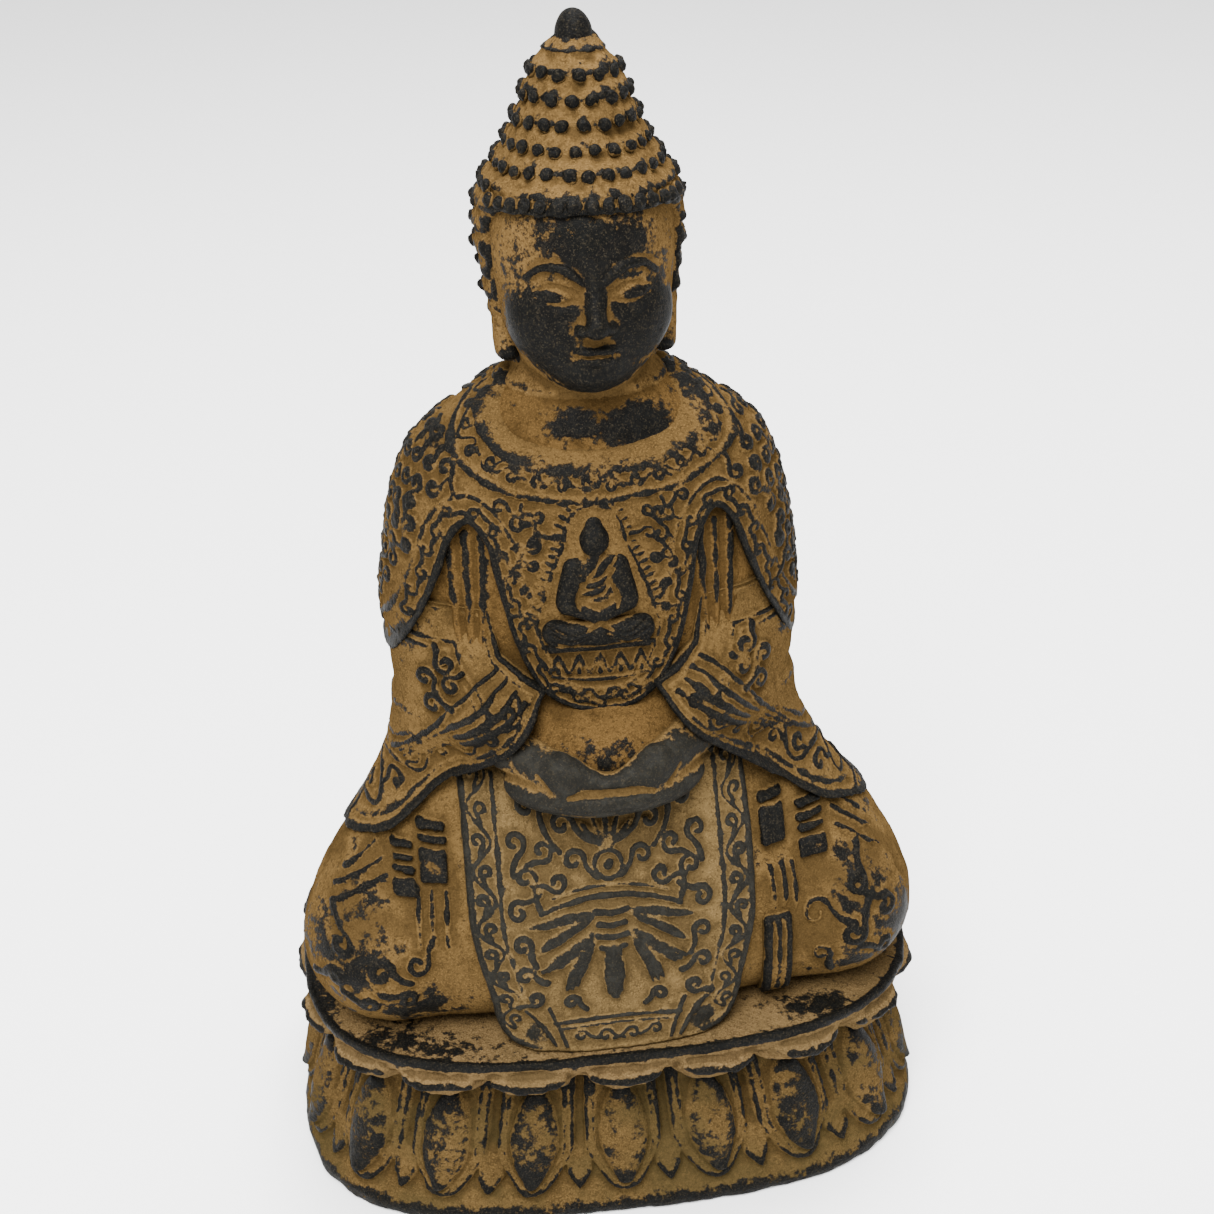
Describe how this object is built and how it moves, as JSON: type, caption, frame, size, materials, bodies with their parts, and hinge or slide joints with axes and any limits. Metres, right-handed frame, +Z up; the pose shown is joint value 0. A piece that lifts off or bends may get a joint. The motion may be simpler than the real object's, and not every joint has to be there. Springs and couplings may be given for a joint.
{
  "type": "buddha statue",
  "caption": "Seated Buddha figure with hands folded in its lap on a double lotus throne, cast in iron with worn relief ornament.",
  "frame": {"origin": "middle of the underside, on the surface that the statue stands on", "axes": "+Z up, the figure faces -Y, +X is the figure's left hand"},
  "size_m": [0.1162, 0.082, 0.2],
  "materials": {
    "throne_iron": "rough",
    "robe_iron": "rough",
    "cape_iron": "rough",
    "face_iron": "satin",
    "hair_iron": "rough",
    "steel": "satin"
  },
  "bodies": {
    "root": {"lotus_base": "throne_iron", "base_plate": "throne_iron", "lotus_seat": "throne_iron", "crossed_legs": "robe_iron", "torso": "robe_iron", "cape": "cape_iron", "chest_medallion": "cape_iron", "right_sleeve": "robe_iron", "left_sleeve": "robe_iron", "folded_hands": "face_iron", "apron": "cape_iron", "sash_end": "robe_iron", "head": "face_iron", "right_ear": "face_iron", "left_ear": "face_iron", "hair_cap": "hair_iron", "hair_curls": "hair_iron", "crown_jewel": "hair_iron", "tie_rod": "steel", "tie_washer": "steel", "tie_nut": "steel"}
  },
  "joints": []
}
